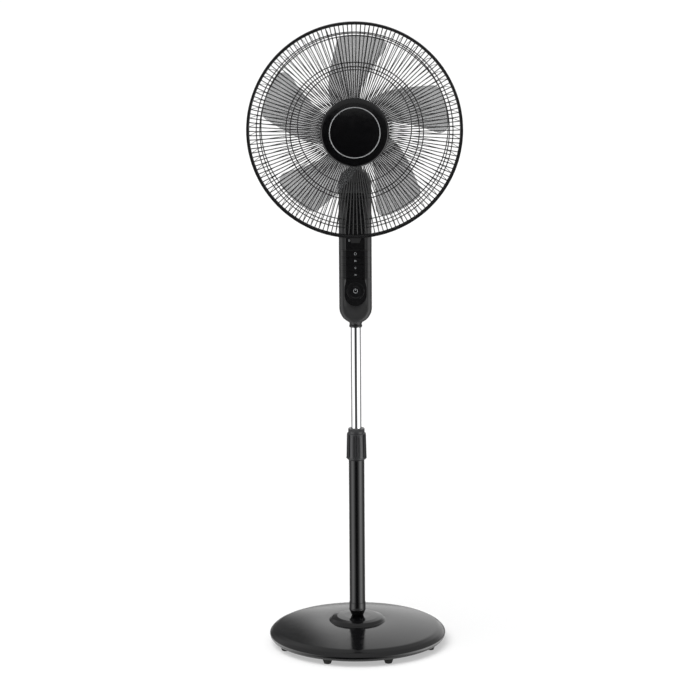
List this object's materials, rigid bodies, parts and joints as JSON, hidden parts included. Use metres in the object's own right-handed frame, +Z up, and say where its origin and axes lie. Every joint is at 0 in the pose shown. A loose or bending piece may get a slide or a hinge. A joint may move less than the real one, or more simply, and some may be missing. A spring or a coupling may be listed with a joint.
{
  "type": "pedestal fan",
  "caption": "Standing fan: a wire guard and bladed rotor on a tilting, swinging head, carried by a control column on a height-adjustable pole and a round weighted base.",
  "frame": {"origin": "on the floor under the middle of the round base", "axes": "+Z up along the pole, the fan blows towards -Y, +X to the right seen from the front"},
  "size_m": [0.4499, 0.386, 1.367],
  "materials": {
    "gloss_black_abs": "high gloss moulded",
    "satin_black_abs": "satin moulded",
    "gloss_lens": "polished acrylic",
    "chrome_tube": "polished chrome plate",
    "black_enamel": "black enamelled steel",
    "bright_ring": "bright turned",
    "foot_rubber": "matt",
    "weight_iron": "as cast",
    "zinc_steel": "zinc plated",
    "winding_copper": "enamelled wire",
    "board_green": "solder mask",
    "blade_plastic": "moulded, see-through grey tint",
    "acetal": "moulded"
  },
  "bodies": {
    "stand": {"base_cover": "gloss_black_abs", "base_fasteners": "zinc_steel", "base_feet": "foot_rubber", "base_pan": "black_enamel", "base_weight": "weight_iron", "column_socket": "black_enamel", "outer_tube": "black_enamel", "collet_sleeve": "acetal"},
    "collar": {"height_collar": "satin_black_abs"},
    "column": {"inner_tube": "chrome_tube", "tube_stop_bush": "acetal", "neck_ring": "satin_black_abs", "tube_holder": "satin_black_abs", "column_fasteners": "zinc_steel", "front_housing": "satin_black_abs", "rear_housing": "satin_black_abs", "control_lenses": "gloss_lens", "control_board": "board_green", "board_components": "satin_black_abs", "power_supply": "board_green", "cord_gland": "foot_rubber", "pivot_bracket": "zinc_steel", "tilt_bolt": "zinc_steel", "friction_washers": "acetal"},
    "speed_key": {"speed_key": "satin_black_abs"},
    "mode_key": {"mode_key": "satin_black_abs"},
    "swing_key": {"swing_key": "satin_black_abs"},
    "timer_key": {"timer_key": "satin_black_abs"},
    "power_button": {"power_button": "gloss_lens"},
    "tilt": {"tilt_bracket": "satin_black_abs", "swivel_pin": "zinc_steel", "swing_gear": "acetal"},
    "head": {"swivel_housing": "satin_black_abs", "swing_motor": "zinc_steel", "motor_front_bell": "zinc_steel", "motor_rear_bell": "zinc_steel", "stator_core": "zinc_steel", "stator_windings": "winding_copper", "motor_bolts": "zinc_steel", "motor_bearings": "zinc_steel", "motor_cover": "satin_black_abs", "run_capacitor": "satin_black_abs", "front_guard_wires": "black_enamel", "rear_guard_wires": "black_enamel", "front_guard_rings": "black_enamel", "rear_guard_rings": "black_enamel", "rim_ring": "satin_black_abs", "rim_clip": "satin_black_abs", "clip_screw": "zinc_steel", "rear_guard_plate": "black_enamel", "guard_nut": "satin_black_abs", "front_cap": "gloss_black_abs", "cap_ring": "bright_ring", "cap_backplate": "satin_black_abs"},
    "swing_pinion": {"swing_pinion": "acetal"},
    "rotor": {"motor_shaft": "zinc_steel", "rotor_core": "zinc_steel", "fan_blades": "blade_plastic", "drive_pin": "zinc_steel", "blade_nut": "satin_black_abs"}
  },
  "joints": [
    {"name": "collar_twist", "type": "hinge", "parent": "stand", "child": "collar", "pos_m": [0, 0, 0.44], "axis": [0, 0, 1], "range_deg": [0, 120]},
    {"name": "height_slide", "type": "slide", "parent": "stand", "child": "column", "axis": [0, 0, 1], "range_m": [-0.2, 0]},
    {"name": "speed_key_press", "type": "slide", "parent": "column", "child": "speed_key", "axis": [0, 1, 0], "range_m": [0, 0.001], "stiffness_N_per_m": 300},
    {"name": "mode_key_press", "type": "slide", "parent": "column", "child": "mode_key", "axis": [0, 1, 0], "range_m": [0, 0.001], "stiffness_N_per_m": 300},
    {"name": "swing_key_press", "type": "slide", "parent": "column", "child": "swing_key", "axis": [0, 1, 0], "range_m": [0, 0.001], "stiffness_N_per_m": 300},
    {"name": "timer_key_press", "type": "slide", "parent": "column", "child": "timer_key", "axis": [0, 1, 0], "range_m": [0, 0.001], "stiffness_N_per_m": 300},
    {"name": "power_button_press", "type": "slide", "parent": "column", "child": "power_button", "axis": [0, 1, 0], "range_m": [0, 0.001], "stiffness_N_per_m": 300},
    {"name": "tilt", "type": "hinge", "parent": "column", "child": "tilt", "pos_m": [0, 0, 1.018], "axis": [-1, 0, 0], "range_deg": [-10, 15]},
    {"name": "swing", "type": "hinge", "parent": "tilt", "child": "head", "pos_m": [0, 0, 1.0655], "axis": [0, 0, 1], "range_deg": [-40, 40]},
    {"name": "pinion_turn", "type": "hinge", "parent": "head", "child": "swing_pinion", "pos_m": [0, 0.0225, 1.0655], "axis": [0, 0, 1], "range_deg": [-80, 80]},
    {"name": "rotor_spin", "type": "hinge", "parent": "head", "child": "rotor", "pos_m": [0, 0, 1.142], "axis": [0, -1, 0], "continuous": true}
  ],
  "couplings": [
    {"joint": "pinion_turn", "follows": "swing", "ratio": 2}
  ]
}
